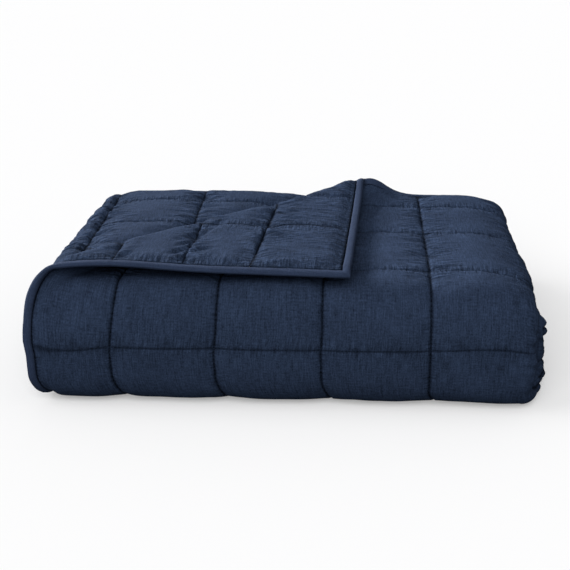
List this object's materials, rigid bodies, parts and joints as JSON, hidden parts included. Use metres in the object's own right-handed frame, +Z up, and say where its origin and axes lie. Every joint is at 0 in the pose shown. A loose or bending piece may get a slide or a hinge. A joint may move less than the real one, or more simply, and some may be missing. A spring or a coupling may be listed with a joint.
{
  "type": "folded weighted blanket",
  "caption": "Quilted weighted blanket with a bound edge, folded into a thick rectangular stack, one top corner turned back on the diagonal.",
  "frame": {"origin": "middle of the folded stack's box, on the surface it rests on", "axes": "+X to the right along the long front fold, +Y from the front fold to the open back edges, +Z up"},
  "size_m": [0.6122, 0.4542, 0.1814],
  "materials": {
    "panel_cotton": "matt navy woven cotton with faint lighter slubs, quilted in squares",
    "binding_cotton": "matt navy woven cotton strip, a little lighter than the panel"
  },
  "bodies": {
    "root": {"quilted_panel": "panel_cotton", "edge_binding": "binding_cotton"}
  },
  "joints": []
}
